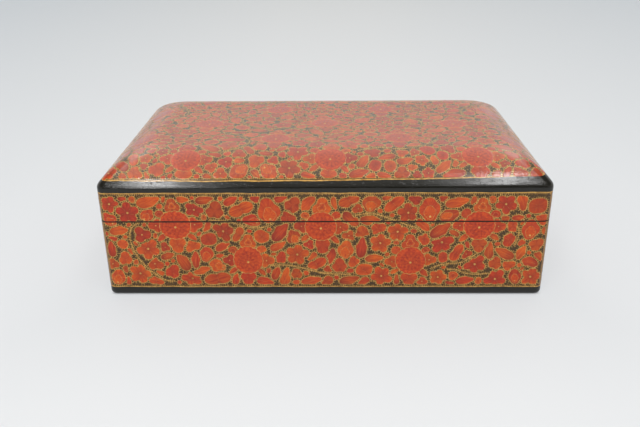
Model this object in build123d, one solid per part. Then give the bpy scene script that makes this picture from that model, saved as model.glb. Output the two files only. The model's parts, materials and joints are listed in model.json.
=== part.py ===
from build123d import *
from math import cos, radians, sin, sqrt, tan
import os

# Kashmiri papier mache box: a rectangular base and a lift-off lid with a pillow-shaped crown.
# Millimetres. Origin at the middle of the underside, +Z up, the front face towards -Y.

# driving dimensions
WIDTH = 300.0
DEPTH = 178.0
HEIGHT = 98.2
SEAM = 56.0              # height of the joint between base and lid
RIM = 80.9               # height at which the walls and the crown's slope would meet if the rim were sharp
CORNER = 5.5             # radius of the upright corners
FOOT_ROUND = 3.0         # rounding of the lower outer edges
RIM_ROUND = 5.0          # rounding of the rim, between wall and slope
RIM_SLOPE = 50.0         # slope of the crown where it leaves the rim, in degrees
HIP_SPREAD = 0.25        # how much the crown's corner radius grows for each millimetre of inset
CROWN_JOINT = 78.4       # height at which the moulded crown is glued to the lid's walls

WALL = 5.0               # base walls
FLOOR = 4.0
LINING = 1.0             # card on the floor
LINER = 2.0              # strips inside the base
LIP = 6.5                # how far the liner stands above the seam
LIP_GAP = 0.35           # play between the lip and the lid's walls
LIP_BEVEL = 0.6          # lead-in along the lip's outer upper edge
CROWN_THICK = 4.0
SEAM_BEVEL = 0.35        # softened outer edges at the seam
INNER_CORNER = 1.5       # radius of the crown's inner corners where they start

# derived sizes
LID_WALL = WALL - LIP_GAP
INNER_WIDTH = WIDTH - 2 * WALL
INNER_DEPTH = DEPTH - 2 * WALL
RIM_SETBACK = RIM_ROUND * tan(radians(90 - RIM_SLOPE) / 2)
RIM_RUN = RIM_ROUND * (1 - sin(radians(RIM_SLOPE)))
SLOPE_START = RIM - RIM_SETBACK + RIM_ROUND * cos(radians(RIM_SLOPE))
ARC = (HEIGHT - SLOPE_START) / (1 - cos(radians(RIM_SLOPE)))
FLAT_INSET = RIM_RUN + ARC * sin(radians(RIM_SLOPE))
RIM_STEPS = 5
ARC_STEPS = 9
SIDES = ("front", "back", "left", "right")


def rounded(inset, height, radius):
    """The plan outline at a height: the box's rectangle, drawn in by inset."""
    sketch = RectangleRounded(WIDTH - 2 * inset, DEPTH - 2 * inset, radius)
    return Plane.XY.offset(height) * sketch


def rim_point(step):
    """Inset and height on the rounded rim, from the upright wall to the start of the slope."""
    angle = radians(90 - (90 - RIM_SLOPE) * step / RIM_STEPS)
    inset = RIM_ROUND * (1 - sin(angle))
    return inset, RIM - RIM_SETBACK + RIM_ROUND * cos(angle)


def arc_point(step, inset_start, radius):
    """Inset and height on an arc about the crown's centre line, from its lower end to the flat top."""
    start = (FLAT_INSET - inset_start) / radius
    lean = start * (1 - step / ARC_STEPS)
    return FLAT_INSET - radius * lean, HEIGHT - ARC + radius * sqrt(1 - lean * lean)


def crown_form(points, start_inset, start_radius):
    """A smooth solid through level outlines, given as inset and height."""
    sections = []
    for inset, height in points:
        corner = start_radius + HIP_SPREAD * (inset - start_inset)
        sections.append(rounded(inset, height, corner))
    return loft(sections)


def crown_outside():
    """The crown's outer form down to its glue joint: an upright foot, the rounded rim and the shoulder."""
    rim = [rim_point(step) for step in range(RIM_STEPS + 1)]
    shoulder = [arc_point(step, RIM_RUN, ARC) for step in range(ARC_STEPS + 1)]
    foot = extrude(rounded(0, CROWN_JOINT, CORNER), rim[0][1] - CROWN_JOINT)
    return foot + crown_form(rim, 0, CORNER) + crown_form(shoulder, 0, CORNER)


def crown_inside():
    """The hollow under the crown."""
    points = [arc_point(step, LID_WALL, ARC - CROWN_THICK) for step in range(ARC_STEPS + 1)]
    mouth = extrude(rounded(LID_WALL, CROWN_JOINT - 1, INNER_CORNER), points[0][1] - CROWN_JOINT + 1)
    return mouth + crown_form(points, LID_WALL, INNER_CORNER)


def mitre_wedge(side, low, high):
    """The share of the plan that belongs to one side, cut at 45 degrees through the corners."""
    reach = 10
    half_w = WIDTH / 2 + reach
    half_d = DEPTH / 2 + reach
    ridge = (WIDTH - DEPTH) / 2
    outlines = {
        "front": [(-half_w, -half_d), (half_w, -half_d), (ridge, 0), (-ridge, 0)],
        "back": [(half_w, half_d), (-half_w, half_d), (-ridge, 0), (ridge, 0)],
        "left": [(-half_w, half_d), (-half_w, -half_d), (-ridge, 0)],
        "right": [(half_w, -half_d), (half_w, half_d), (ridge, 0)],
    }
    outline = make_face(Polyline(*outlines[side], close=True))
    return extrude(Plane.XY.offset(low) * outline, high - low)


def wall_ring(low, high, thickness):
    """Four walls as one ring with rounded upright corners, before the mitres part them."""
    outside = extrude(rounded(0, low, CORNER), high - low)
    hollow = Pos(0, 0, (low + high) / 2) * Box(WIDTH - 2 * thickness, DEPTH - 2 * thickness, high - low)
    return outside, hollow


def base_ring():
    """The base's walls, rounded along the foot and softened along the seam."""
    outside, hollow = wall_ring(0, SEAM, WALL)
    outside = fillet(outside.faces().sort_by(Axis.Z)[0].edges(), FOOT_ROUND)
    outside = chamfer(outside.faces().sort_by(Axis.Z)[-1].edges(), SEAM_BEVEL)
    return outside - hollow


def lid_ring():
    """The lid's walls, softened along the seam."""
    outside, hollow = wall_ring(SEAM, CROWN_JOINT, LID_WALL)
    outside = chamfer(outside.faces().sort_by(Axis.Z)[0].edges(), SEAM_BEVEL)
    return outside - hollow


def liner_strip(side):
    """An inner strip from the floor to the top of the lip. The long strips run past the short ones."""
    height = SEAM + LIP - FLOOR
    middle = FLOOR + height / 2
    if side in ("front", "back"):
        sign = -1 if side == "front" else 1
        strip = Pos(0, sign * (INNER_DEPTH - LINER) / 2, middle) * Box(INNER_WIDTH, LINER, height)
        outer_face = strip.faces().sort_by(Axis.Y)[0 if sign < 0 else -1]
    else:
        sign = -1 if side == "left" else 1
        length = INNER_DEPTH - 2 * LINER
        strip = Pos(sign * (INNER_WIDTH - LINER) / 2, 0, middle) * Box(LINER, length, height)
        outer_face = strip.faces().sort_by(Axis.X)[0 if sign < 0 else -1]
    return chamfer(outer_face.edges().sort_by(Axis.Z)[-1], LIP_BEVEL)


def floor_panel():
    return Pos(0, 0, FLOOR / 2) * Box(INNER_WIDTH, INNER_DEPTH, FLOOR)


def floor_card():
    size = (INNER_WIDTH - 2 * LINER, INNER_DEPTH - 2 * LINER, LINING)
    return Pos(0, 0, FLOOR + LINING / 2) * Box(*size)


def all_nodes():
    """Every separate piece, under its own name."""
    nodes = {"base_floor": floor_panel(), "floor_lining": floor_card()}
    base = base_ring()
    lid = lid_ring()
    for side in SIDES:
        nodes[f"base_{side}_wall"] = base & mitre_wedge(side, 0, SEAM)
        nodes[f"lid_{side}_wall"] = lid & mitre_wedge(side, SEAM, CROWN_JOINT)
        nodes[f"liner_{side}"] = liner_strip(side)
    nodes["lid_crown"] = crown_outside() - crown_inside()
    return nodes


os.makedirs("parts", exist_ok=True)
for name, shape in all_nodes().items():
    export_step(shape, f"parts/{name}.step")
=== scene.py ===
import json
import math

import bmesh
import bpy
import numpy as np
from mathutils import Euler, Matrix, Vector


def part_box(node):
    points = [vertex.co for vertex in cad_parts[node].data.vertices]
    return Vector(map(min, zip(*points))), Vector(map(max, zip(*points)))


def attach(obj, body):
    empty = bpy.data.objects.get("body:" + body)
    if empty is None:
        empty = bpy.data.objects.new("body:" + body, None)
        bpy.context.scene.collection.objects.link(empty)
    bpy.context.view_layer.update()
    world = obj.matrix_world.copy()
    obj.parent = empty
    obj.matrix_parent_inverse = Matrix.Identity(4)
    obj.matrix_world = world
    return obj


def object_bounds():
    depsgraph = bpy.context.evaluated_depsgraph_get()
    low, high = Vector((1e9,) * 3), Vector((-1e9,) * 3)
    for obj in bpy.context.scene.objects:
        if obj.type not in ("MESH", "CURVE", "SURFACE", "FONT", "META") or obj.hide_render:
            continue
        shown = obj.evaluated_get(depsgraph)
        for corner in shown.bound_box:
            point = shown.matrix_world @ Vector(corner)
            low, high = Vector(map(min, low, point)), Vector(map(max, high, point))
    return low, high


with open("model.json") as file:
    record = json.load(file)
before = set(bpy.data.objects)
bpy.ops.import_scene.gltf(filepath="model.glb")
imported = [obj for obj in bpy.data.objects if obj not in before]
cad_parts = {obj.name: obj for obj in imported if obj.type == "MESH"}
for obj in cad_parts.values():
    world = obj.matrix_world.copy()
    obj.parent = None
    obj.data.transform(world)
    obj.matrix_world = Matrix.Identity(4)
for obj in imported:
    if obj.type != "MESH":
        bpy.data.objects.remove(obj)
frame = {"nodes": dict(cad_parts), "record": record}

# Kashmiri papier mache box: painted flowers, gold outlines, hatching, black bands and varnish
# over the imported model. Metres, in the row frame: +Z up, the front face towards -Y.

cad_low, cad_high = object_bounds()
rng = np.random.default_rng(1957)
MM = 0.001
UP = np.array([0, 0, 1.0])

# the box, from the frame
WIDTH = cad_high.x - cad_low.x
DEPTH = cad_high.y - cad_low.y
HEIGHT = cad_high.z
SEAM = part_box("base_front_wall")[1].z

# the crown's form, as the CAD source has it
CORNER = 5.5 * MM
RIM = 80.9 * MM
RIM_ROUND = 5.0 * MM
RIM_SLOPE = math.radians(50)
HIP_SPREAD = 0.25
RIM_SETBACK = RIM_ROUND * math.tan((math.pi / 2 - RIM_SLOPE) / 2)
RIM_RUN = RIM_ROUND * (1 - math.sin(RIM_SLOPE))
SLOPE_START = RIM - RIM_SETBACK + RIM_ROUND * math.cos(RIM_SLOPE)
ARC = (HEIGHT - SLOPE_START) / (1 - math.cos(RIM_SLOPE))
FLAT_INSET = RIM_RUN + ARC * math.sin(RIM_SLOPE)

# painted borders
FOOT_BAND = 6.3 * MM         # top of the black band along the foot
WALL_TOP = 76.7 * MM         # lower edge of the black band round the rim
CROWN_LOW = 83.9 * MM        # upper edge of that band, on the crown's slope
BORDER = 0.6 * MM            # gold lines beside the bands
BAND_TILT = 0.007            # its upper edge runs slightly down to the left
BAND_BOW = 0.06              # and dips between the corners, in metres for each square metre
COMB = 1.3 * MM              # hatching strokes that stand on those gold lines
CORNER_STRIP = 2.4 * MM      # width of the brown strips down the rounded corners

BAND_UP = UP - BAND_TILT * np.array([1.0, 0, 0])

# paint
FILL_LIFT = 0.035 * MM
FILL_EDGE = 0.04 * MM        # how far the edge of a stroke sinks below the ground
SHOULDER = 0.86              # where the rounded edge of a fill ends, as a share of its reach
MOST_SAG = 0.012 * MM        # how far a fill's flat faces may sink into a curved face
LINE_LIFT = 0.07 * MM
LINE = 0.46 * MM             # width of the gold outlines
OVER = 0.06 * MM             # how much higher the big blossoms lie than what they overlap
TICK_WIDTH = 0.42 * MM
TICK_LIFT = 0.02 * MM
SEAM_GAP = 0.5 * MM


# ---------------------------------------------------------------- camera and light

def make_camera():
    """The photograph's viewpoint: slightly right of the middle, looking 24 degrees down."""
    place = (4.9 * MM, -DEPTH / 2 - 434.2 * MM, 254.2 * MM)
    tilt, heading, roll = math.radians(23.89), math.radians(1.013), math.radians(-0.525)
    data = bpy.data.cameras.new("camera")
    data.lens = 40.45
    data.clip_start = 0.02
    camera = bpy.data.objects.new("camera", data)
    turn = Euler((math.pi / 2 - tilt, 0, heading)).to_matrix() @ Matrix.Rotation(roll, 3, "Z")
    camera.matrix_world = Matrix.Translation(place) @ turn.to_4x4()
    bpy.context.scene.collection.objects.link(camera)
    bpy.context.scene.camera = camera


def make_light(name, x, elevation, reach, width, height, radiance, in_gloss=True):
    """A studio light in front of the box, square on to its long axis, at an angle above the ground."""
    data = bpy.data.lights.new(name, "AREA")
    data.shape = "RECTANGLE"
    data.size, data.size_y = width, height
    data.energy = radiance * math.pi * width * height
    light = bpy.data.objects.new(name, data)
    lean = math.radians(elevation)
    place = Vector((x, -DEPTH / 2 - reach * math.cos(lean), HEIGHT * 0.8 + reach * math.sin(lean)))
    turn = Matrix.Rotation(math.pi / 2 - lean, 4, "X")
    light.matrix_world = Matrix.Translation(place) @ turn
    light.visible_glossy = in_gloss
    bpy.context.scene.collection.objects.link(light)


def make_lights():
    """A tall window on the left, a high softbox on the right, both brightest at the outer edge; a fill."""
    make_light("window_high", -0.447, 50, 1.3, 0.070, 0.86, 24.0)
    make_light("window_low", -0.431, 20, 1.3, 0.055, 0.78, 21.0)
    make_light("window_middle", -0.378, 38, 1.3, 0.08, 1.5, 4.2)
    make_light("window_inner", -0.300, 34, 1.3, 0.08, 1.4, 0.8)
    make_light("softbox_high", 0.438, 60, 1.3, 0.062, 0.90, 19.0)
    make_light("softbox_middle", 0.370, 62, 1.3, 0.075, 0.70, 4.8)
    make_light("softbox_low", 0.345, 32, 1.3, 0.16, 0.45, 2.4)
    make_light("softbox_inner", 0.285, 62, 1.3, 0.095, 0.70, 1.2)
    make_light("front_fill", 0.0, 13, 2.4, 1.6, 1.2, 2.05, in_gloss=False)


def make_world():
    """White studio walls under a bright overhead panel, dim at the sides and behind the camera."""
    world = bpy.data.worlds.new("studio")
    bpy.context.scene.world = world
    world.use_nodes = True
    w = Nodes(world.node_tree)
    axes = w.add("ShaderNodeSeparateXYZ")
    w.plug(w.add("ShaderNodeTexCoord").outputs["Generated"], axes.inputs[0])
    x, y, z = axes.outputs
    sideways = w.math("ABSOLUTE", x)
    behind = w.math("MULTIPLY", w.ramp(y, -0.5, 0.7), w.ramp(z, 1.0, 0.45))
    aside = w.math("MULTIPLY", w.ramp(sideways, 0.4, 0.65), w.ramp(z, 0.3, 0.55))
    camera_side = w.math("MULTIPLY", w.ramp(y, -0.75, -0.88), w.ramp(z, 0.4, 0.12))
    walls = w.math("ADD", 0.60, w.math("MULTIPLY", behind, 0.60))
    low_behind = w.math("MULTIPLY", w.ramp(y, 0.5, 0.8), w.ramp(z, 0.48, 0.28))
    for zone, share in ((aside, 0.75), (camera_side, 0.95), (low_behind, 0.28)):
        walls = w.math("MULTIPLY", walls, w.math("SUBTRACT", 1.0, w.math("MULTIPLY", zone, share)))
    panel = w.math("ADD", 1.74, w.ramp(sideways, 0.2, 0.32, 0.0, 1.7))
    along = w.math("MULTIPLY", w.ramp(y, -0.45, -0.25), w.ramp(y, 0.92, 0.67))
    in_panel = w.math("MULTIPLY", along, w.ramp(sideways, 0.48, 0.4))
    overhead = w.math("MULTIPLY", in_panel, w.math("SUBTRACT", panel, walls))
    background = world.node_tree.nodes["Background"]
    background.inputs["Color"].default_value = (1.0, 0.975, 0.94, 1)
    w.plug(w.math("ADD", walls, overhead), background.inputs["Strength"])


# ---------------------------------------------------------------- shader helpers

class Nodes:
    """A node tree in the making. Methods add a node and return the socket that matters."""

    def __init__(self, tree):
        self.tree = tree

    def add(self, kind, **settings):
        node = self.tree.nodes.new(kind)
        for key, value in settings.items():
            setattr(node, key, value)
        return node

    def plug(self, value, socket):
        if isinstance(value, bpy.types.NodeSocket):
            self.tree.links.new(value, socket)
        else:
            socket.default_value = value

    def math(self, operation, a, b=0.0, c=0.0):
        node = self.add("ShaderNodeMath", operation=operation)
        for value, socket in zip((a, b, c), node.inputs):
            self.plug(value, socket)
        return node.outputs[0]

    def ramp(self, value, low, high, to_low=0.0, to_high=1.0):
        """to_low at low, to_high at high, straight between them and level beyond."""
        node = self.add("ShaderNodeMapRange", clamp=True)
        self.plug(value, node.inputs["Value"])
        for name, number in (("From Min", low), ("From Max", high), ("To Min", to_low), ("To Max", to_high)):
            self.plug(number, node.inputs[name])
        return node.outputs["Result"]


class Shader(Nodes):
    """A material with a Principled surface."""

    def __init__(self, name):
        self.material = bpy.data.materials.new(name)
        self.material.use_nodes = True
        super().__init__(self.material.node_tree)
        self.bsdf = self.tree.nodes["Principled BSDF"]
        self.object_place = self.add("ShaderNodeTexCoord").outputs["Object"]

    def noise(self, scale, detail=3.0, roughness=0.55, place=None, distortion=0.0):
        node = self.add("ShaderNodeTexNoise")
        self.plug(place or self.object_place, node.inputs["Vector"])
        self.plug(scale, node.inputs["Scale"])
        self.plug(detail, node.inputs["Detail"])
        self.plug(roughness, node.inputs["Roughness"])
        self.plug(distortion, node.inputs["Distortion"])
        return node.outputs["Fac"]

    def mix(self, factor, a, b):
        node = self.add("ShaderNodeMix", data_type="RGBA")
        self.plug(factor, node.inputs["Factor"])
        colours = [s for s in node.inputs if s.type == "RGBA"]
        self.plug(a, colours[0])
        self.plug(b, colours[1])
        return [s for s in node.outputs if s.type == "RGBA"][0]

    def attribute(self, name, output="Fac"):
        return self.add("ShaderNodeAttribute", attribute_name=name).outputs[output]

    def stretched(self, scale):
        node = self.add("ShaderNodeMapping")
        self.plug(self.object_place, node.inputs["Vector"])
        self.plug(scale, node.inputs["Scale"])
        return node.outputs["Vector"]

    def bump(self, height, distance, strength=1.0, under=None):
        node = self.add("ShaderNodeBump")
        self.plug(height, node.inputs["Height"])
        self.plug(distance, node.inputs["Distance"])
        self.plug(strength, node.inputs["Strength"])
        if under:
            self.plug(under, node.inputs["Normal"])
        return node.outputs["Normal"]

    def finish(self, colour, roughness, normal=None, **sockets):
        self.plug(colour, self.bsdf.inputs["Base Color"])
        self.plug(roughness, self.bsdf.inputs["Roughness"])
        if normal:
            self.plug(normal, self.bsdf.inputs["Normal"])
        for name, value in sockets.items():
            self.bsdf.inputs[name.replace("_", " ")].default_value = value
        return self.material


VARNISH_IOR = 1.45
BLACK = (0.007, 0.0065, 0.0045, 1)
GROUND_DARK = (0.042, 0.021, 0.004, 1)
GROUND_TAN = (0.20, 0.11, 0.022, 1)
GOLD = (0.50, 0.28, 0.062, 1)
GOLD_DARK = (0.24, 0.12, 0.022, 1)
STRIP_BROWN = (0.15, 0.07, 0.017, 1)
# painted sheen on the crown: the pale grey, and the most of it that is mixed into the colour
SHEEN_GREY = (0.11, 0.115, 0.09, 1)
MOST_SHEEN = 0.14


def varnish_normal(shader):
    """Slow waves of hand-rubbed varnish, brush marks along the box and a few pits."""
    waves = shader.noise(45.0, detail=2.0)
    brush = shader.noise(1.0, detail=4.0, roughness=0.65, place=shader.stretched((60, 60, 700)))
    pits = shader.ramp(shader.noise(520.0, detail=2.0), 0.62, 0.72)
    normal = shader.bump(waves, 0.0006, 0.18)
    normal = shader.bump(brush, 0.00016, 0.6, under=normal)
    return shader.bump(pits, -0.00006, 0.8, under=normal)


def varnish_roughness(shader, low=0.03, high=0.10):
    """Glossy, with duller streaks where the brush ran dry."""
    smear = shader.noise(1.0, detail=4.0, place=shader.stretched((70, 70, 260)))
    return shader.ramp(smear, 0.35, 0.7, low, high)


def with_painted_sheen(shader, colour):
    """Painted sheen: the crown's colour is mixed towards a pale grey, standing in for the pale reflection of
    the bright room in its varnish.
    """
    axes = shader.add("ShaderNodeSeparateXYZ")
    shader.plug(shader.object_place, axes.inputs[0])
    sheen = shader.ramp(axes.outputs[2], CROWN_LOW, CROWN_LOW + 4 * MM, 0.0, MOST_SHEEN)
    return shader.mix(sheen, colour, SHEEN_GREY)


def painted_ground():
    """Dark ground with tan hatching, between black bands with gold lines. Black inside the box."""
    s = Shader("painted_lacquer")
    axes = s.add("ShaderNodeSeparateXYZ")
    s.plug(s.object_place, axes.inputs[0])
    x, y, z = axes.outputs
    hand = s.math("MULTIPLY", s.math("SUBTRACT", s.noise(55.0, detail=2.0), 0.5), 1.1 * MM)
    high = s.math("ADD", z, hand)
    lean = s.math("MULTIPLY", x, s.math("ADD", BAND_TILT, s.math("MULTIPLY", x, BAND_BOW)))
    leaning = s.math("SUBTRACT", high, lean)

    out_x = s.math("SUBTRACT", s.math("ABSOLUTE", x), WIDTH / 2)
    out_y = s.math("SUBTRACT", s.math("ABSOLUTE", y), DEPTH / 2)
    outside = s.math("GREATER_THAN", s.math("MAXIMUM", out_x, out_y), -3.4 * MM)
    below_crown = s.math("LESS_THAN", z, RIM + 3 * MM)
    facing = s.add("ShaderNodeSeparateXYZ")
    s.plug(s.add("ShaderNodeNewGeometry").outputs["True Normal"], facing.inputs[0])
    skyward = s.math("GREATER_THAN", facing.outputs[2], 0.02)
    crown_out = s.math("MULTIPLY", s.math("GREATER_THAN", z, RIM - 1.5 * MM), skyward)
    shown = s.math("MAXIMUM", s.math("MULTIPLY", outside, below_crown), crown_out)
    # painted shade: faces within 0.42 mm of the seam are black and rough, standing in for the shadow in the
    # gap between lid and base
    off_seam = s.math("ABSOLUTE", s.math("SUBTRACT", z, SEAM))
    seam_shade = s.math("LESS_THAN", off_seam, 0.42 * MM)
    shown = s.math("MULTIPLY", shown, s.math("SUBTRACT", 1.0, seam_shade))

    below_rim = s.math("LESS_THAN", high, WALL_TOP)
    over_rim = s.math("GREATER_THAN", leaning, CROWN_LOW)
    field = s.math("MULTIPLY", s.math("GREATER_THAN", high, FOOT_BAND), s.math("MAXIMUM", below_rim, over_rim))

    strip_turn = math.pi / 4 - CORNER_STRIP / 2 / CORNER
    strip_edge = CORNER * (math.sin(strip_turn) - 1)
    in_strip = s.math("GREATER_THAN", s.math("MINIMUM", out_x, out_y), strip_edge)
    strips = s.math("MULTIPLY", in_strip, below_rim)
    gold_lines = 0.0
    for height, edge, side in ((high, FOOT_BAND, 1), (high, WALL_TOP, -1), (leaning, CROWN_LOW, 1)):
        off = s.math("ABSOLUTE", s.math("SUBTRACT", height, edge + side * BORDER / 2))
        gold_lines = s.math("MAXIMUM", gold_lines, s.math("LESS_THAN", off, BORDER / 2))

    hatching = s.noise(900.0, detail=2.0, distortion=1.5)
    cloud = s.noise(130.0)
    tan = s.math("MULTIPLY", s.ramp(hatching, 0.6, 0.68), s.ramp(cloud, 0.3, 0.6))
    ground = s.mix(tan, GROUND_DARK, GROUND_TAN)
    gold = s.mix(s.ramp(s.noise(400.0, detail=4.0), 0.35, 0.62), GOLD_DARK, GOLD)
    ground = s.mix(strips, ground, s.mix(s.ramp(hatching, 0.4, 0.6), STRIP_BROWN, GOLD_DARK))
    ground = s.mix(gold_lines, ground, gold)
    colour = s.mix(shown, BLACK, s.mix(field, BLACK, with_painted_sheen(s, ground)))
    roughness = s.math("MAXIMUM", varnish_roughness(s), s.math("MULTIPLY", seam_shade, 0.8))
    return s.finish(colour, roughness, varnish_normal(s), IOR=VARNISH_IOR)


def inside_black():
    """Black lacquer of the inside and underside, brushed on by hand and rubbed thin in places."""
    s = Shader("black_lacquer")
    streaks = s.noise(90.0, detail=5.0, place=s.stretched((1.0, 1.0, 0.12)))
    worn = s.ramp(s.noise(210.0, detail=6.0, roughness=0.7), 0.66, 0.74)
    colour = s.mix(s.ramp(streaks, 0.35, 0.7), BLACK, (0.016, 0.014, 0.012, 1))
    colour = s.mix(s.math("MULTIPLY", worn, 0.35), colour, (0.06, 0.035, 0.018, 1))
    return s.finish(colour, varnish_roughness(s, 0.22, 0.42), s.bump(streaks, 0.0002, 0.4), IOR=1.5)


def lining_card():
    """Black paper over card: matt, with pressed fibres."""
    s = Shader("lining_card")
    fibres = s.noise(800.0, detail=6.0, roughness=0.7, distortion=2.0)
    cloud = s.noise(30.0, detail=4.0)
    colour = s.mix(s.ramp(fibres, 0.4, 0.62), (0.014, 0.012, 0.011, 1), (0.036, 0.031, 0.027, 1))
    colour = s.mix(s.math("MULTIPLY", s.ramp(cloud, 0.4, 0.7), 0.4), colour, (0.05, 0.04, 0.033, 1))
    return s.finish(colour, 0.85, s.bump(fibres, 0.00015, 0.8), IOR=1.4)


def petal_paint():
    """Vermilion laid in strokes: orange where it is thick, crimson in the folds and hearts."""
    s = Shader("flower_red")
    tint = s.attribute("tint")
    shade = s.attribute("shade")
    streaks = s.noise(1.0, detail=5.0, roughness=0.62, place=s.attribute("stroke", "Vector"))
    blot = s.noise(300.0, detail=4.0, roughness=0.6)
    crimson = s.mix(s.ramp(streaks, 0.36, 0.64), (0.25, 0.012, 0.003, 1), (0.455, 0.036, 0.005, 1))
    orange = s.mix(s.ramp(streaks, 0.36, 0.64), (0.32, 0.030, 0.003, 1), (0.53, 0.10, 0.005, 1))
    colour = s.mix(tint, crimson, orange)
    dark = s.math("MULTIPLY", s.math("MAXIMUM", shade, s.ramp(blot, 0.6, 0.85)), 0.8)
    colour = s.mix(dark, colour, (0.13, 0.009, 0.003, 1))
    return s.finish(with_painted_sheen(s, colour), varnish_roughness(s), varnish_normal(s), IOR=VARNISH_IOR)


def gold_paint():
    """Gold laid with a fine brush, thin enough in places for the ground to show."""
    s = Shader("gold_paint")
    worn = s.ramp(s.noise(620.0, detail=4.0), 0.36, 0.6)
    colour = s.mix(worn, GOLD_DARK, GOLD)
    return s.finish(with_painted_sheen(s, colour), varnish_roughness(s), varnish_normal(s), IOR=VARNISH_IOR)


def floor_paper():
    """White paper with painted light: greyer far behind the box and towards the sides, where the light falls
    off, and paler where it rises. It glows for camera and glossy rays, most just beside the box, leaving only
    a soft shadow.
    """
    s = Shader("studio_paper")
    axes = s.add("ShaderNodeSeparateXYZ")
    s.plug(s.object_place, axes.inputs[0])
    # painted light: the paper's colour darkens far behind the box and towards the sides, as the light falls
    # off
    far = s.ramp(axes.outputs[1], 0.0, 1.5)
    aside = s.ramp(s.math("ABSOLUTE", axes.outputs[0]), 0.1, 0.8, 0.0, 0.6)
    falloff_tone = s.mix(far, (0.74, 0.755, 0.77, 1), (0.645, 0.663, 0.67, 1))
    falloff_tone = s.mix(aside, falloff_tone, (0.535, 0.582, 0.628, 1))
    falloff_tone = s.mix(s.ramp(axes.outputs[2], 0.02, 0.35), falloff_tone, (0.95, 0.96, 0.97, 1))
    paper = s.mix(0.2, falloff_tone, (0.2, 0.2, 0.2, 1))
    s.finish(paper, 0.9, None, IOR=1.2)
    ray = s.add("ShaderNodeLightPath").outputs
    seen = s.math("MAXIMUM", ray["Is Camera Ray"], ray["Is Glossy Ray"])
    glow = s.add("ShaderNodeEmission")
    s.plug(falloff_tone, glow.inputs["Color"])
    off_x = s.math("SUBTRACT", s.math("ABSOLUTE", axes.outputs[0]), WIDTH / 2)
    off_y = s.math("SUBTRACT", s.math("ABSOLUTE", axes.outputs[1]), DEPTH / 2)
    off = s.math("MAXIMUM", off_x, off_y)
    # painted light: the paper glows, not under the box and most just beside it, which lightens the box's
    # shadow
    painted_glow_share = s.math("MULTIPLY", s.ramp(off, -3.5 * MM, 0.5 * MM), s.ramp(off, 0.0, 120 * MM, 0.78, 0.62))
    blend = s.add("ShaderNodeMixShader")
    s.plug(s.math("MULTIPLY", seen, painted_glow_share), blend.inputs["Fac"])
    s.plug(s.bsdf.outputs[0], blend.inputs[1])
    s.plug(glow.outputs[0], blend.inputs[2])
    s.plug(blend.outputs[0], s.tree.nodes["Material Output"].inputs["Surface"])
    return s.material


# ---------------------------------------------------------------- the painted faces

def crown_inset(x, y):
    """How far in from the walls the crown's level line through a plan point runs."""
    a = WIDTH / 2 - np.abs(x)
    b = DEPTH / 2 - np.abs(y)
    inset = np.minimum(a, b)
    k = 1 / (1 + HIP_SPREAD) ** 2
    lead = 2 - k * HIP_SPREAD**2
    half = (a + b) + k * CORNER * HIP_SPREAD
    rest = a * a + b * b - k * CORNER**2
    root = np.sqrt(np.maximum(half * half - lead * rest, 0))
    centre = (half + root) / lead
    in_corner = (a < centre) & (b < centre)
    return np.where(in_corner, (centre - CORNER) / (1 + HIP_SPREAD), inset)


def crown_height(x, y):
    inset = crown_inset(x, y)
    rim = RIM - RIM_SETBACK + np.sqrt(np.maximum(RIM_ROUND**2 - (RIM_ROUND - inset) ** 2, 0))
    arc = HEIGHT - ARC + np.sqrt(ARC**2 - np.clip(FLAT_INSET - inset, 0, FLAT_INSET) ** 2)
    return np.where(inset < RIM_RUN, rim, arc)


def crown_normal(x, y):
    step = 0.05 * MM
    slope_x = (crown_height(x + step, y) - crown_height(x - step, y)) / (2 * step)
    slope_y = (crown_height(x, y + step) - crown_height(x, y - step)) / (2 * step)
    normal = np.stack([-slope_x, -slope_y, np.ones_like(slope_x)], -1)
    return normal / np.linalg.norm(normal, axis=-1, keepdims=True)


class WallFace:
    """One upright face and half of each rounded corner beside it. u is the way along it to the right
    as seen from outside, v is the height."""

    fineness = 1.0

    def __init__(self, turn, length, reach):
        self.along = np.array([round(math.cos(turn)), round(math.sin(turn)), 0.0])
        self.out = np.array([self.along[1], -self.along[0], 0.0])
        self.reach = reach
        self.flat_half = length / 2 - CORNER
        self.end = self.flat_half + CORNER * math.pi / 4 - CORNER_STRIP / 2
        self.low, self.high = FOOT_BAND + BORDER, WALL_TOP - BORDER
        self.limits = (-self.end, self.end, self.low + 1.1 * MM, self.high - 1.4 * MM)

    def at(self, flat):
        """Points and outward directions for places on the face as if it were unrolled."""
        u, v = flat[:, :1], flat[:, 1:]
        turn = np.sign(u) * np.clip(np.abs(u) - self.flat_half, 0, None) / CORNER
        along = np.clip(u, -self.flat_half, self.flat_half) + CORNER * np.sin(turn)
        out = self.reach - CORNER * (1 - np.cos(turn))
        points = along * self.along + out * self.out + v * UP
        return points, np.cos(turn) * self.out + np.sin(turn) * self.along

    def cuts(self):
        """Planes that trim the ornament to the face: a point and the direction that is cut away."""
        reach = self.flat_half + CORNER * math.sin((self.end - self.flat_half) / CORNER)
        ends = [(self.along * reach * side, self.along * side) for side in (-1, 1)]
        return ends + [(UP * self.low, -UP), (UP * self.high, UP)]

    def edges(self):
        """The gold lines along the bands, each with its ground on its right."""
        u = np.arange(-self.end, self.end, 1.2 * MM)
        yield np.stack([u[::-1], np.full_like(u, self.low)], -1)
        yield np.stack([u, np.full_like(u, self.high)], -1)


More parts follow.
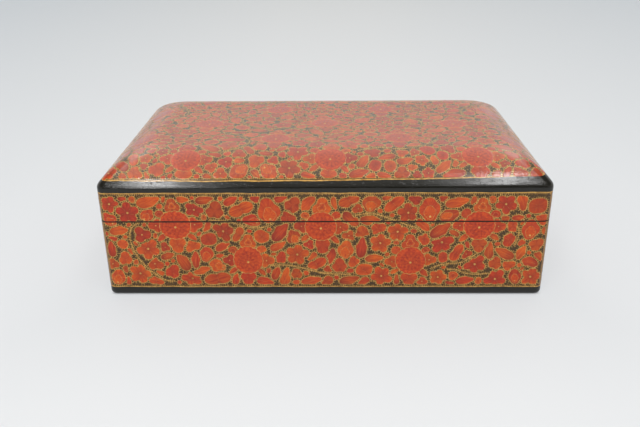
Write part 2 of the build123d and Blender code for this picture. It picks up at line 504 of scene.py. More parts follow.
class CrownFace:
    """The crown, rolled out flat: u and v are ways along its profile from the middle."""

    fineness = 0.72

    def __init__(self):
        self.low = CROWN_LOW + BORDER + 0.5 * MM
        slope = ARC * math.acos((self.low - HEIGHT + ARC) / ARC)
        end_u = WIDTH / 2 - FLAT_INSET + slope
        end_v = DEPTH / 2 - FLAT_INSET + slope
        self.limits = (-end_u, end_u, -end_v, end_v)

    @staticmethod
    def rolled_in(way, flat_half):
        """The plan coordinate of a way along the profile."""
        bent = np.clip(np.abs(way) - flat_half, 0, ARC * RIM_SLOPE)
        return np.sign(way) * (np.minimum(np.abs(way), flat_half) + ARC * np.sin(bent / ARC))

    def at(self, flat):
        x = self.rolled_in(flat[:, 0], WIDTH / 2 - FLAT_INSET)
        y = self.rolled_in(flat[:, 1], DEPTH / 2 - FLAT_INSET)
        return np.stack([x, y, crown_height(x, y)], -1), crown_normal(x, y)

    def cuts(self):
        return [(UP * self.low, -BAND_UP)]

    def edges(self):
        """The gold line along the band, with its ground on its right."""
        end_u, end_v = self.limits[1] + 0.3 * MM, self.limits[3] + 0.3 * MM
        u = np.arange(-end_u + 8 * MM, end_u - 8 * MM, 1.2 * MM)
        v = np.arange(-end_v + 8 * MM, end_v - 8 * MM, 1.2 * MM)
        yield np.stack([u[::-1], np.full_like(u, -end_v)], -1)
        yield np.stack([u, np.full_like(u, end_v)], -1)
        yield np.stack([np.full_like(v, -end_u), v], -1)
        yield np.stack([np.full_like(v, end_u), v[::-1]], -1)


# ---------------------------------------------------------------- paint meshes

class Paint:
    """Collects brush strokes as one mesh, with the tint, shade and stroke direction of each point."""

    def __init__(self):
        self.points, self.quads, self.tris = [], [], []
        self.tints, self.shades, self.strokes = [], [], []
        self.count = 0

    def add(self, points, quads, tris=None, tint=0.5, shade=0.0, stroke=(0.0, 0.0, 0.0)):
        self.points.append(points)
        self.quads.append(quads + self.count)
        if tris is not None:
            self.tris.append(tris + self.count)
        self.tints.append(np.broadcast_to(tint, len(points)))
        self.shades.append(np.broadcast_to(shade, len(points)))
        self.strokes.append(np.broadcast_to(stroke, (len(points), 3)))
        self.count += len(points)

    def mesh(self, name):
        mesh = bpy.data.meshes.new(name)
        faces = np.concatenate(self.quads).tolist()
        if self.tris:
            faces += np.concatenate(self.tris).tolist()
        mesh.from_pydata(np.concatenate(self.points).tolist(), [], faces)
        for key, values in (("tint", self.tints), ("shade", self.shades)):
            mesh.attributes.new(key, "FLOAT", "POINT").data.foreach_set(
                "value", np.concatenate(values).astype(np.float32))
        mesh.attributes.new("stroke", "FLOAT_VECTOR", "POINT").data.foreach_set(
            "vector", np.concatenate(self.strokes).astype(np.float32).ravel())
        mesh.shade_smooth()
        return mesh


def directions(turns):
    return np.stack([np.cos(turns), np.sin(turns)], -1)


class Painter:
    """Lays strokes of paint on one face."""

    def __init__(self, face):
        self.face = face
        self.fineness = face.fineness
        self.sheets = {layer: Paint() for layer in ("flowers", "leaves", "gold", "hatching")}

    def lifted(self, flat, lifts):
        points, normals = self.face.at(flat)
        return points + normals * np.reshape(lifts, (-1, 1))

    def ring_shares(self, outline, heart):
        """How far out the rings of a fill lie: close together where the face bends under it."""
        normals = self.face.at(np.vstack([outline, heart]))[1]
        bend = np.arccos(np.clip(normals[:-1] @ normals[-1], -1, 1)).max()
        reach = np.linalg.norm(outline - heart, axis=1).max()
        count = max(2, math.ceil(SHOULDER * reach / math.sqrt(8 * MOST_SAG * reach / max(bend, 1e-3))))
        return 1 - np.arange(count) / count

    def fill(self, layer, outline, heart, lift, tint=0.5, shade=0.0, core=0.4, bottom=-FILL_EDGE, grain=None):
        """A filled shape, star-shaped about its heart, with its edge sunk into the ground."""
        n = len(outline)
        spread = outline - heart
        shares = [1.0, 0.93] + [SHOULDER * share for share in self.ring_shares(outline, heart)]
        rings = len(shares)
        flat = np.concatenate([heart + spread * share for share in shares] + [heart[None]])
        shade = np.broadcast_to(shade, n)
        inward = [1 - min(share / SHOULDER, 1) for share in shares]
        shades = np.concatenate([shade * (1 - way) + core * way for way in inward] + [[core]])
        shades[:n] += 0.3
        away = flat - heart
        reach = np.linalg.norm(away, axis=1, keepdims=True)
        if grain == "soft":
            stroke = np.stack([away[:, 0], away[:, 1], 0 * reach[:, 0]], -1) / (1.6 * MM)
        elif grain is None:
            streak_count = np.linalg.norm(spread, axis=1).mean() / (0.8 * MM)
            stroke = np.hstack([away / np.maximum(reach, 1e-9) * streak_count, reach / (6 * MM)])
        else:
            along, across = directions(np.array([grain, grain + math.pi / 2]))
            stroke = np.stack([away @ along / (7 * MM), away @ across / (0.8 * MM), 0 * reach[:, 0]], -1)
        ring = np.arange(n)
        following = np.roll(ring, -1)
        quads = np.concatenate([
            np.stack([ring, following, following + n, ring + n], -1) + n * k for k in range(rings - 1)])
        tris = np.stack([ring, following, np.full(n, n)], -1) + n * (rings - 1)
        points = self.lifted(flat, np.repeat([bottom, lift], [n, n * (rings - 1) + 1]))
        self.sheets[layer].add(points, quads, tris, tint, np.clip(shades, 0, 1), stroke + 90 * rng.random(3))

    def line(self, path, width, lift=LINE_LIFT, closed=True, taper=False, layer="gold"):
        """A raised brush line along a path, highest along its middle, a little uneven in width."""
        n = len(path)
        ahead = np.roll(path, -1, 0) - np.roll(path, 1, 0) if closed else np.gradient(path, axis=0)
        ahead = ahead / np.maximum(np.linalg.norm(ahead, axis=1, keepdims=True), 1e-9)
        side = ahead @ np.array([[0.0, 1.0], [-1.0, 0.0]])
        widths = self.fineness * width / 2 * (0.75 + 0.5 * rng.random(n))
        if taper:
            rank = np.arange(n)
            widths = widths * np.clip(np.minimum(rank, rank[::-1]) / 3 + 0.3, 0.3, 1)
        side = side * widths[:, None]
        points = self.lifted(np.concatenate([path + side, path, path - side]),
                             np.repeat([-FILL_EDGE, lift, -FILL_EDGE], n))
        ring = np.arange(n if closed else n - 1)
        following = (ring + 1) % n
        quads = np.concatenate([
            np.stack([ring, ring + n, following + n, following], -1) + n * k for k in (0, 1)])
        self.sheets[layer].add(points, quads)

    def ticks(self, path, spacing=1.3 * MM, longest=1.6 * MM):
        """Short hatching strokes that stand out to the right of an outline, over the ground."""
        ahead = np.roll(path, -1, 0) - path
        lengths = np.linalg.norm(ahead, axis=1)
        if lengths[-1] > 3 * MM:
            lengths = lengths[:-1]
        ends = np.cumsum(lengths)
        marks = np.arange(rng.random() * spacing, ends[-1], spacing)
        index = np.minimum(np.searchsorted(ends, marks), len(path) - 1)
        share = 1 - (ends[index] - marks) / lengths[index]
        base = path[index] + ahead[index] * share[:, None]
        along = ahead[index] / lengths[index][:, None]
        side = along @ np.array([[0.0, -1.0], [1.0, 0.0]])
        reach = longest * (0.5 + 0.5 * rng.random(len(marks)))
        lean = along * (rng.random(len(marks))[:, None] - 0.5) * 0.7 * MM
        far = base + side * reach[:, None] + lean
        half = along * TICK_WIDTH / 2
        middle = (base + far) / 2
        corners = [far - half * 0.6, far + half * 0.6, middle - half, middle + half, base - half, base + half]
        flat = np.stack(corners, 1).reshape(-1, 2)
        first = np.arange(len(marks))[:, None] * len(corners)
        quads = np.concatenate([first + (0, 1, 3, 2), first + (2, 3, 5, 4)])
        self.sheets["hatching"].add(self.lifted(flat, TICK_LIFT), quads)


# ---------------------------------------------------------------- packing

CELL = 0.6 * MM
GAP = 1.35 * MM             # between the middles of neighbouring gold outlines
OVERHANG = 0.9 * MM         # how far motifs may run past a face's limits
SIGHT = 5 * MM              # beyond this the clearance of a cell isn't followed


class Field:
    """The room left on one face: for each cell, how far it is from the nearest paint."""

    def __init__(self, face):
        low_u, high_u, low_v, high_v = face.limits
        self.low = np.array([low_u, low_v]) - OVERHANG
        self.high = np.array([high_u, high_v]) + OVERHANG
        u = np.arange(self.low[0], self.high[0], CELL)
        v = np.arange(self.low[1], self.high[1], CELL)
        self.grid = np.stack(np.meshgrid(u, v, indexing="ij"), -1)
        edge = np.minimum(self.grid - self.low, self.high - self.grid).min(-1)
        self.free = np.minimum(edge, SIGHT)
        self.area = (high_u - low_u) * (high_v - low_v)

    def free_at(self, spots):
        cell = np.rint((spots - self.low) / CELL).astype(int)
        inside = ((cell >= 0) & (cell < self.free.shape)).all(-1)
        cell = np.clip(cell, 0, np.array(self.free.shape) - 1)
        return np.where(inside, self.free[cell[..., 0], cell[..., 1]], -1.0)

    def room(self, places, turns, reach):
        """How far a line can be drawn from each place in each direction before it meets paint."""
        steps = np.arange(0, reach + CELL, 0.7 * CELL)
        spots = places[:, None, None] + steps[:, None] * directions(turns)[:, None]
        blocked = self.free_at(spots) < GAP
        blocked[..., -1] = True
        return steps[blocked.argmax(-1)]

    def block(self, outline, heart=None, half_width=0.0):
        """Marks the inside of an outline about its heart, or the width of a line, as painted."""
        first = np.clip(((outline.min(0) - SIGHT - self.low) / CELL).astype(int), 0, None)
        last = ((outline.max(0) + SIGHT - self.low) / CELL).astype(int) + 1
        window = (slice(first[0], max(last[0], 0)), slice(first[1], max(last[1], 0)))
        cells = self.grid[window]
        if cells.size == 0:
            return
        away = np.linalg.norm(cells[:, :, None] - outline, axis=-1).min(-1) - half_width
        if heart is not None:
            spread = outline - heart
            turns = np.arctan2(spread[:, 1], spread[:, 0])
            order = turns.argsort()
            to_cell = cells - heart
            radius = np.interp(np.arctan2(to_cell[..., 1], to_cell[..., 0]), turns[order],
                               np.linalg.norm(spread, axis=1)[order], period=2 * np.pi)
            away = np.where(np.linalg.norm(to_cell, axis=-1) < radius, -1.0, away)
        self.free[window] = np.minimum(self.free[window], away)


# ---------------------------------------------------------------- motifs

def lobed(turns, lobes, depth, width=0.5):
    """Round with petals: depth is how far the notches cut in, width their share of a petal."""
    petal = 2 * np.pi / lobes
    off = (turns + petal) % petal - petal / 2
    return 1 - depth * np.exp(-(off / (width * petal / 2)) ** 2)


def oval(turns, ratio, power=2.0):
    """An ellipse at power 2, an almond with pointed ends below it, and squarish above it."""
    return (np.abs(np.cos(turns)) ** power + np.abs(np.sin(turns) / ratio) ** power) ** (-1 / power)


SHAPES = {
    "blossom": lambda t: lobed(t, 18, 0.05),
    "floret": lambda t: lobed(t, 5, 0.42, 0.3),
    "rose": lambda t: oval(t, 0.8) * lobed(t, 4, 0.16, 0.4),
    "tulip": lambda t: lobed(t, 3, 0.3, 0.3) * oval(t, 0.84) * lobed(t, 7, 0.1),
    "trefoil": lambda t: lobed(t, 3, 0.42, 0.4),
    "crest": lambda t: lobed(t, 3, 0.34, 0.4),
    "leaf": lambda t: oval(t, 0.46, 1.62 - 0.34 * np.cos(t)) * (1 + 0.05 * np.cos(5 * t)),
    "twin": lambda t: oval(t, 0.54) * lobed(t, 2, 0.3, 0.3),
    "square": lambda t: oval(t, 0.84, 3.4) * lobed(t, 4, 0.08, 0.3),
    "bud": lambda t: np.ones_like(t),
}
FLOWERS = ("blossom", "floret", "rose", "crest")


class Motif:
    """One painted flower, leaf or bud: its radii round its middle, in the directions it points."""

    def __init__(self, kind, place, size, angle, over=0.0):
        self.kind, self.size, self.angle, self.over = kind, size, angle, over
        self.place = np.array(place, float)
        count = int(np.clip(2 * np.pi * size / (1.0 * MM), 10, 72))
        if kind in ("floret", "trefoil", "tulip", "crest", "twin"):
            count = max(count, 30)
        self.turns = np.arange(count) * 2 * np.pi / count
        waver = sum(rng.normal(0, 0.028) * np.cos(k * self.turns + 6 * rng.random()) for k in (1, 2, 3, 4))
        self.radii = size * SHAPES[kind](self.turns) * (1 + (0.3 if kind == "blossom" else 1.0) * waver)

    def fit(self, field):
        """Grows and shrinks the outline into the room that its neighbours leave."""
        room = field.room(self.place[None], self.turns + self.angle, self.size * 1.35)[0]
        ratio = np.clip(room / self.radii, 0.66, 1.1)
        width = max(1, len(ratio) // 12)
        ratio = np.mean([np.roll(ratio, shift) for shift in range(-width, width + 1)], axis=0)
        radii = np.minimum(self.radii * ratio, np.maximum(room, 0.3 * self.size))
        self.radii = 0.25 * np.roll(radii, 1) + 0.5 * radii + 0.25 * np.roll(radii, -1)

    def outline(self, share=1.0, shift=(0.0, 0.0)):
        spread = directions(self.turns + self.angle) * self.radii[:, None] * share
        return self.place + self.local(shift) + spread

    def local(self, offset):
        """An offset in the motif's own directions, in shares of its size, as a way on the face."""
        along, across = directions(np.array([self.angle, self.angle + math.pi / 2]))
        return (offset[0] * along + offset[1] * across) * self.size

    def draw(self, painter):
        self.tint = rng.random()
        self.fade = 0.6 * rng.random() ** 2
        outline = self.outline()
        painter.ticks(outline)
        getattr(self, "draw_" + self.kind)(painter, outline)
        width = LINE * (1.1 if self.size > 4 * MM else 0.9)
        painter.line(outline, width, LINE_LIFT + self.over)

    def base(self, painter, outline, **settings):
        layer = "flowers" if self.kind in FLOWERS else "leaves"
        settings["shade"] = self.fade + settings.get("shade", 0.0)
        painter.fill(layer, outline, self.place, FILL_LIFT + self.over, self.tint, **settings)

    def notches(self, lobes):
        """How deep each outline point lies in a fold between petals."""
        return 1 - lobed(self.turns, lobes, 1.0, 0.3)

    def dot(self, painter, centre, size):
        around = np.arange(8) * np.pi / 4
        painter.fill("gold", centre + size * directions(around), centre, LINE_LIFT + self.over + 0.1 * MM)

    def rays(self, painter, centre, count, near, far):
        for turn in np.arange(count) * 2 * np.pi / count + rng.random():
            reach = np.linspace(near, far * (0.7 + 0.3 * rng.random()), 4)[:, None]
            painter.line(centre + reach * directions(np.array([turn])), LINE * 0.62,
                         LINE_LIFT + self.over, closed=False, taper=True)

    def draw_blossom(self, painter, outline):
        heart = self.place + (0, -0.14 * self.size)
        self.tint = 0.25 + 0.15 * rng.random()
        painter.fill("flowers", outline, heart, FILL_LIFT + self.over, self.tint,
                     shade=0.2 * self.notches(18), core=0.2, grain="soft")
        for step, (share, lobes) in enumerate(((0.76, 14), (0.5, 9))):
            turns = self.turns
            petals = lobed(turns + step, lobes, 0.12)[:, None] * share
            ring = heart + (outline - heart) * petals
            lift = FILL_LIFT + self.over + 0.02 * MM * (step + 1)
            painter.fill("flowers", ring, heart, lift, self.tint + 0.1 * rng.random(), core=0.25,
                         shade=0.15 + 0.6 * (1 - lobed(turns + step, lobes, 1.0, 0.4)),
                         bottom=lift - 0.03 * MM, grain="soft")
        self.rays(painter, heart, 7, 1.2 * MM, 2.6 * MM)
        self.dot(painter, heart, 0.85 * MM)

    def draw_floret(self, painter, outline):
        folds = self.notches(5)
        self.base(painter, outline, shade=0.55 * folds, core=0.85)
        for turn in self.angle + (np.arange(5) + 0.5) * 2 * np.pi / 5:
            reach = np.linspace(0.26, 0.6, 4)[:, None] * self.size
            painter.line(self.place + reach * directions(np.array([turn])), LINE * 0.62,
                         closed=False, taper=True)
        self.dot(painter, self.place, 0.11 * self.size)

    def draw_rose(self, painter, outline):
        self.base(painter, outline, shade=0.3 * self.notches(4), core=0.5)
        shift = (-0.26, 0.0)
        inner = self.outline(0.56, shift)
        heart = self.place + self.local(shift)
        lift = FILL_LIFT + 0.04 * MM
        painter.fill("flowers", inner, heart, lift, self.tint + 0.3, core=0.15)
        painter.line(inner, LINE * 0.8, LINE_LIFT + 0.03 * MM)
        if rng.random() < 0.5:
            self.dot(painter, self.place + self.local((-0.62, 0.0)), 0.1 * self.size)

    def draw_tulip(self, painter, outline):
        self.base(painter, outline, shade=0.5 * self.notches(3), core=0.55)
        if rng.random() < 0.5:
            self.rays(painter, self.place, 3, 0.1 * self.size, 0.5 * self.size)

    def draw_trefoil(self, painter, outline):
        self.base(painter, outline, shade=0.5 * self.notches(3), core=0.7)
        if self.size > 4 * MM:
            self.dot(painter, self.place, 0.09 * self.size)

    def draw_crest(self, painter, outline):
        self.base(painter, outline, shade=0.4 * self.notches(3), core=0.3)
        ring = self.outline(0.44)
        painter.fill("flowers", ring, self.place, FILL_LIFT + 0.04 * MM, self.tint, core=0.9)
        painter.line(ring, LINE * 0.9, LINE_LIFT + 0.03 * MM)

    def draw_leaf(self, painter, outline):
        away = 0.5 - 0.5 * np.cos(self.turns)
        self.tint += 0.15
        self.base(painter, outline, shade=0.45 * away**2, core=0.15, grain=self.angle)
        if self.size > 4.5 * MM and rng.random() < 0.5:
            share = np.linspace(-0.8, 0.35, 6)[:, None]
            painter.line(self.place + self.size * share * directions(np.array([self.angle])), LINE * 0.6,
                         closed=False, taper=True)

    def draw_twin(self, painter, outline):
        self.base(painter, outline, shade=0.6 * self.notches(2), core=0.6, grain=self.angle)
        waist = np.linspace(-0.3, 0.3, 4)[:, None] * self.local((0.0, 1.0))
        painter.line(self.place + waist, LINE * 0.62, closed=False, taper=True)

    def draw_square(self, painter, outline):
        self.base(painter, outline, core=0.75)
        if rng.random() < 0.6:
            self.rays(painter, self.place, 4, 0.15 * self.size, 0.6 * self.size)

    def draw_bud(self, painter, outline):
        ringed = self.size > 1.9 * MM and rng.random() < 0.6
        self.base(painter, outline, core=0.75 if ringed else 0.25)
        if ringed:
            painter.line(self.outline(0.52), LINE * 0.6)


# ---------------------------------------------------------------- composition

# what fills a face, from large to small: kind, smallest and largest size, and how many on 225 cm2
FILLING = (
    ("floret", 6.0, 7.4, 10),
    ("rose", 5.5, 7.2, 8),
    ("leaf", 6.5, 9.0, 14),
    ("tulip", 5.0, 6.4, 14),
    ("twin", 5.5, 7.5, 9),
    ("square", 4.2, 5.4, 12),
    ("trefoil", 4.0, 5.2, 20),
    ("leaf", 4.8, 6.4, 30),
    ("floret", 3.8, 4.8, 16),
    ("tulip", 3.2, 4.0, 24),
    ("bud", 2.2, 3.2, 40),
    ("leaf", 3.0, 4.4, 90),
    ("bud", 1.5, 2.1, 110),
    ("leaf", 2.0, 2.9, 120),
)
UNIT_AREA = 225e-4
TRIALS = 20
TURNS = np.arange(24) * 2 * np.pi / 24
MOST_MISSES = 10


def best_place(field, kind, size):
    """The place and angle where a motif fills its surroundings best, or None where it can't fit."""
    shape = size * SHAPES[kind](TURNS)
    roomy = np.flatnonzero(field.free.ravel() >= 0.8 * shape.min() + 0.2 * GAP)
    if len(roomy) == 0:
        return None
    places = field.grid.reshape(-1, 2)[rng.choice(roomy, TRIALS)]
    room = field.room(places, TURNS, size * 1.5)
    turned = np.stack([np.roll(shape, shift) for shift in range(len(TURNS))])
    slack = room[:, None] - turned
    cost = np.where(slack < 0, -3 * slack, np.minimum(slack, 2 * MM)).mean(-1)
    best = np.unravel_index(cost.argmin(), cost.shape)
    if np.maximum(-slack[best], 0).mean() > 0.12 * shape.mean():
        return None
    return places[best[0]], TURNS[best[1]]


class Composition:
    """The ornament of one face: what has been placed, in painting order."""

    def __init__(self, face):
        self.field = Field(face)
        self.painter = Painter(face)
        self.motifs = []

    def put(self, kind, place, size, angle, over=0.0, fitted=True):
        if fitted and self.field.free_at(np.array(place)) < GAP:
            return
        motif = Motif(kind, place, size, angle, over)
        if fitted:
            motif.fit(self.field)
        self.field.block(motif.outline(), motif.place)
        self.motifs.append(motif)

    def blossom(self, place, size):
        """A big blossom over a crest, a cup and smaller flowers that look out from under it."""
        companions = (
            ("crest", 90, 1.28, 0.52), ("tulip", 270, 1.32, 0.6), ("trefoil", 180, 1.2, 0.46),
            ("trefoil", 0, 1.2, 0.46), ("bud", 38, 1.18, 0.28), ("bud", 140, 1.18, 0.28),
            ("leaf", 222, 1.25, 0.36), ("leaf", 318, 1.25, 0.36),
        )
        for kind, side, away, share in companions:
            turn = math.radians(side + 10 * (rng.random() - 0.5))
            spot = place + away * size * np.array([math.cos(turn), math.sin(turn)])
            self.put(kind, spot, share * size * (0.9 + 0.2 * rng.random()), turn)
        self.put("blossom", place, size, rng.random() * 6, over=OVER, fitted=False)

    def stem(self, points):
        """A scrolling stem: one gold line with room for hatching on both sides."""
        path = smooth_path(points)
        self.painter.line(path, 1.5 * LINE, closed=False, taper=True)
        self.painter.ticks(path)
        self.painter.ticks(path[::-1])
        self.field.block(path, half_width=0.3 * MM)

    def fill_up(self):
        for kind, small, large, count in FILLING:
            misses = 0
            for _ in range(round(count * self.field.area / UNIT_AREA)):
                size = (small + (large - small) * rng.random()) * MM
                found = best_place(self.field, kind, size)
                if found:
                    self.put(kind, found[0], size, found[1])
                else:
                    misses += 1
                if misses > MOST_MISSES:
                    break

    def curls(self):
        """Small gold commas in the gaps that are left."""
        for _ in range(round(330 * self.field.area / UNIT_AREA)):
            roomy = np.flatnonzero(self.field.free.ravel() >= 0.55 * MM)
            if len(roomy) == 0:
                break
            spot = self.field.grid.reshape(-1, 2)[rng.choice(roomy)]
            turn = rng.random() * 2 * np.pi + np.linspace(0, 2.2, 5)
            path = spot + np.cumsum(directions(turn), 0) * 0.42 * MM
            self.painter.line(path, LINE * 0.55, TICK_LIFT * 2, closed=False, taper=True)
            self.field.block(path)

    def paint(self):
        for motif in self.motifs:
            motif.draw(self.painter)
        for edge in self.painter.face.edges():
            self.painter.ticks(edge, longest=COMB)
        return self.painter.sheets


def smooth_path(points, step=1.0 * MM):
    """A Catmull-Rom curve through the points, sampled about every step."""
    p = np.array(points, float) * MM
    p = np.concatenate([[2 * p[0] - p[1]], p, [2 * p[-1] - p[-2]]])
    out = []
    for a, b, c, d in zip(p, p[1:], p[2:], p[3:]):
        count = max(2, int(np.linalg.norm(c - b) / step))
        t = np.linspace(0, 1, count, endpoint=False)[:, None]
        out.append(0.5 * (2 * b + (c - a) * t + (2 * a - 5 * b + 4 * c - d) * t**2
                          + (3 * b - a - 3 * c + d) * t**3))
    return np.concatenate(out + [p[-2:-1]])


# blossoms and stems, in millimetres from the middle of the face; heights from the ground on the walls
BLOSSOM = 10.6
LONG_BLOSSOMS = ((-99.5, 53.5), (-2.3, 52.5), (102.8, 53), (-52, 27.3), (58.3, 26.8))
LONG_STEMS = (
    ((-121, 56.5), (-127, 53.5), (-130.5, 48), (-130.5, 40), (-127, 29.5), (-120, 20), (-110, 12), (-103, 11)),
    ((-77, 57.2), (-66, 56.6), (-57, 54), (-48, 51.5), (-40, 52), (-33, 55)),
    ((-37, 23), (-28, 23.5), (-18, 22), (-8.7, 19.2), (0.7, 16.9), (10, 16.5), (18, 16)),
    ((20, 60.5), (30, 61.8), (37, 60.5), (43.5, 58), (50, 55.5), (56, 53), (62, 51), (65, 47)),
    ((72, 20.6), (78, 23.3), (85, 24.6), (93, 25.3), (99, 29), (103, 32.4)),
    ((83, 20.2), (90, 19.6), (97, 16.9), (105, 16.2), (112, 17.2)),
    ((129, 52), (129.5, 47), (129, 42), (127, 38)),
)
# the larger of the other motifs on the long faces: kind, place, size and angle
LONG_MOTIFS = (
    ("floret", (-130.5, 62.5), 7.2, 20), ("leaf", (-116, 70.8), 8.6, 20), ("leaf", (-137.5, 49.6), 6.6, 5),
    ("trefoil", (-122.5, 46.5), 5.8, 0), ("bud", (-136.3, 39.5), 3.3, 0), ("leaf", (-144.3, 36), 6.0, 90),
    ("tulip", (-135.7, 28.6), 5.2, 90), ("floret", (-119.5, 36), 7.6, 50), ("trefoil", (-116, 24.5), 5.6, 100),
    ("floret", (-126.7, 17.0), 7.2, 0), ("rose", (-142.5, 13.8), 6.0, 80), ("tulip", (-104, 18.5), 5.6, 60),
    ("leaf", (-106.5, 30.5), 5.2, 20), ("leaf", (-96.5, 26.5), 8.0, 120), ("leaf", (-88, 27), 6.4, 85),
    ("leaf", (-84.5, 19.5), 6.2, 15), ("square", (-77.7, 43), 5.0, 10), ("floret", (-67.7, 49), 7.0, 75),
    ("rose", (-80, 32), 5.6, 80), ("leaf", (-68, 38), 6.2, 28), ("floret", (-91, 13.2), 7.0, 30),
    ("twin", (-73.5, 12.8), 8.8, 12), ("crest", (-67.3, 26.8), 5.2, 90), ("tulip", (-72.3, 64), 6.8, 80),
    ("leaf", (-78.7, 71.8), 6.6, 8), ("leaf", (-61.3, 71.3), 5.6, 30), ("twin", (-55, 65), 8.2, 25),
    ("rose", (-36.7, 63), 8.8, 100), ("tulip", (-20.8, 68), 6.0, 60), ("leaf", (-29.5, 48), 8.4, 52),
    ("square", (-42, 45), 5.2, 0), ("leaf", (-31, 38.5), 6.6, 35), ("floret", (-18.5, 31.5), 7.2, 80),
    ("twin", (-5.5, 24), 7.2, 30), ("tulip", (10.5, 23), 5.8, 90), ("rose", (14, 35), 6.6, 80),
    ("leaf", (25, 36.5), 7.6, 85), ("leaf", (33.5, 28.5), 6.2, 5), ("tulip", (25.5, 46.5), 6.2, 90),
    ("floret", (37.5, 40), 6.6, 10), ("tulip", (36, 50.5), 5.2, 20), ("twin", (16.5, 71), 7.2, 28),
    ("rose", (31, 69.5), 7.0, 80), ("twin", (46, 68.5), 7.2, 40), ("leaf", (-33, 17.5), 5.8, 70),
    ("tulip", (-19, 17), 4.6, 90), ("leaf", (-9.5, 10.8), 7.6, 15), ("square", (1, 11), 4.6, 0),
    ("square", (27, 19.8), 5.0, 0), ("rose", (69.5, 64.5), 8.2, 95), ("leaf", (87, 69.5), 7.4, 15),
    ("leaf", (77.5, 49.5), 8.2, 38), ("floret", (78.8, 40.5), 7.4, 20), ("twin", (89, 32.5), 6.6, 60),
    ("floret", (102, 24), 7.2, 50), ("leaf", (121.5, 32), 7.2, 150), ("leaf", (132, 32.5), 6.0, 60),
    ("leaf", (138.5, 26), 7.0, 160), ("rose", (137, 50), 7.0, 90), ("square", (140, 67), 5.8, 10),
    ("tulip", (124, 42), 5.6, 240), ("rose", (130, 14.5), 5.4, 95), ("tulip", (116, 25), 5.2, 70),
    ("floret", (77.5, 14), 5.6, 0), ("leaf", (96, 11.5), 6.2, 10), ("bud", (88, 15), 3.4, 0),
    ("tulip", (142, 39), 5.4, 30), ("leaf", (128, 58.5), 4.2, 8), ("rose", (8, 61), 4.0, 90),
)
SHORT_BLOSSOMS = ((-42, 52.5), (45, 53.5), (2, 28))
SHORT_STEMS = (
    ((-66, 52), (-72, 40), (-66, 26), (-52, 18), (-38, 17)),
    ((-26, 56), (-12, 51), (2, 54), (14, 61)),
    ((18, 24), (34, 26), (46, 33), (60, 34), (72, 27)),
)
CROWN_BLOSSOMS = (
    (-92, -73), (4, -72), (102, -70), (-34, -41), (52, -40), (-86, -5), (0, -4), (95, -7),
    (-128, -36), (132, -40), (-36, 33), (44, 34), (-94, 68), (2, 70), (100, 68), (-130, 30), (130, 32),
)
CROWN_STEMS = (
    ((-70, -66), (-56, -58), (-52, -46), (-60, -34), (-74, -26)),
    ((22, -64), (36, -60), (52, -62), (68, -56), (78, -44)),
    ((-12, -22), (-26, -16), (-44, -18), (-58, -8), (-62, 6), (-54, 20)),
    ((20, 6), (34, 14), (54, 14), (70, 4), (72, -12)),
    ((-118, 6), (-108, 18), (-110, 34), (-120, 48)),
    ((116, 6), (106, 18), (110, 36), (122, 48)),
    ((-70, 60), (-56, 52), (-40, 56), (-24, 64)),
    ((24, 60), (40, 54), (58, 58), (74, 64)),
)


def paint_face(face, blossoms, stems, motifs=()):
    """Covers one face with its big flowers, stems and filling motifs."""
    whole = Composition(face)
    for u, v in blossoms:
        whole.blossom(np.array([u, v]) * MM, BLOSSOM * (0.98 + 0.05 * rng.random()) * MM)
    for points in stems:
        whole.stem(points)
    for kind, place, size, angle in motifs:
        whole.put(kind, np.array(place) * MM, size * MM, math.radians(angle))
    whole.fill_up()
    whole.curls()
    print("motifs", len(whole.motifs))
    return whole.paint(), face.cuts()


def trimmed(mesh, cuts):
    """The mesh without what lies beyond the cutting planes."""
    work = bmesh.new()
    work.from_mesh(mesh)
    for point, away in cuts:
        everything = work.verts[:] + work.edges[:] + work.faces[:]
        bmesh.ops.bisect_plane(work, geom=everything, dist=1e-7, plane_co=point, plane_no=away,
                               clear_outer=True)
    return work


def make_piece(name, parts, material, body):
    """One painted piece out of trimmed meshes, riding on its body."""
    whole = bmesh.new()
    mesh = bpy.data.meshes.new(name)
    for part in parts:
        part.to_mesh(mesh)
        whole.from_mesh(mesh)
        part.free()
    whole.to_mesh(mesh)
    whole.free()
    mesh.materials.append(material)
    piece = bpy.data.objects.new(name, mesh)
    bpy.context.scene.collection.objects.link(piece)
    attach(piece, body)
    print(name, len(mesh.polygons), sum(len(p.vertices) - 2 for p in mesh.polygons))


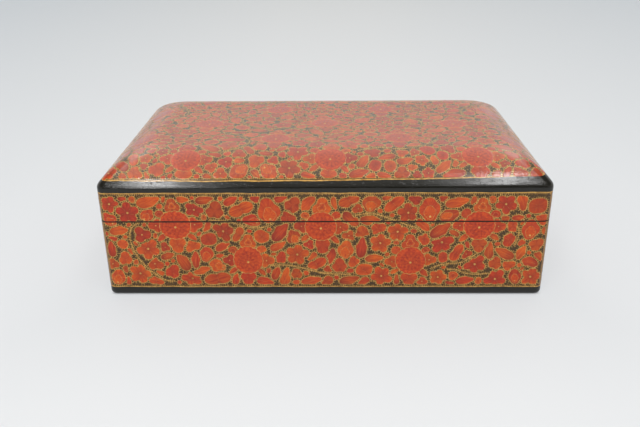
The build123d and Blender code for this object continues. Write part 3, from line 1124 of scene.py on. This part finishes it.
def paint_box(materials):
    """Flowers, leaves, gold and hatching on the four walls and the crown. The seam parts base from lid."""
    walls = (
        (WallFace(0, WIDTH, DEPTH / 2), LONG_BLOSSOMS, LONG_STEMS, LONG_MOTIFS),
        (WallFace(math.pi / 2, DEPTH, WIDTH / 2), SHORT_BLOSSOMS, SHORT_STEMS, ()),
        (WallFace(math.pi, WIDTH, DEPTH / 2), LONG_BLOSSOMS, LONG_STEMS, LONG_MOTIFS),
        (WallFace(-math.pi / 2, DEPTH, WIDTH / 2), SHORT_BLOSSOMS, SHORT_STEMS, ()),
    )
    below = [(UP * (SEAM - SEAM_GAP), UP)]
    above = [(UP * (SEAM + SEAM_GAP), -UP)]
    parts = {}
    for face, *contents in walls:
        sheets, cuts = paint_face(face, *contents)
        for layer, paint in sheets.items():
            mesh = paint.mesh("sheet")
            parts.setdefault(("base", layer), []).append(trimmed(mesh, cuts + below))
            parts.setdefault(("lid", layer), []).append(trimmed(mesh, cuts + above))
    sheets, cuts = paint_face(CrownFace(), CROWN_BLOSSOMS, CROWN_STEMS)
    for layer, paint in sheets.items():
        parts[("crown", layer)] = [trimmed(paint.mesh("sheet"), cuts)]
    slots = {"flowers": "flower_red", "leaves": "flower_red", "gold": "gold_paint", "hatching": "gold_paint"}
    for (place, layer), meshes in parts.items():
        body = "base" if place == "base" else "lid"
        make_piece(f"{place}_{layer}", meshes, materials[slots[layer]], body)


# ---------------------------------------------------------------- surroundings

def make_floor():
    """A pale paper sweep: flat under the box, curving up far behind it."""
    near, far, bend, top = -3.0, 2.4, 0.7, 1.0
    turn = np.linspace(0, math.pi / 2, 13)
    line = [(near, 0.0)] + [(far + bend * math.sin(t), bend - bend * math.cos(t)) for t in turn]
    line.append((far + bend, top))
    points = [(x, y, z) for y, z in line for x in (-4.0, 4.0)]
    faces = [(2 * i, 2 * i + 1, 2 * i + 3, 2 * i + 2) for i in range(len(line) - 1)]
    mesh = bpy.data.meshes.new("paper_sweep")
    mesh.from_pydata(points, [], faces)
    mesh.shade_smooth()
    mesh.materials.append(floor_paper())
    sweep = bpy.data.objects.new("paper_sweep", mesh)
    bpy.context.scene.collection.objects.link(sweep)


make_camera()
make_world()
make_lights()
make_floor()

materials = {
    "painted_lacquer": painted_ground(),
    "black_lacquer": inside_black(),
    "lining_card": lining_card(),
    "flower_red": petal_paint(),
    "gold_paint": gold_paint(),
}
slots = {row["node"]: row["material_slot"] for row in frame["record"]["subparts"]}
for name, node in frame["nodes"].items():
    node.data.materials.clear()
    node.data.materials.append(materials[slots[name]])

paint_box(materials)

bpy.context.scene.view_settings.view_transform = "Standard"
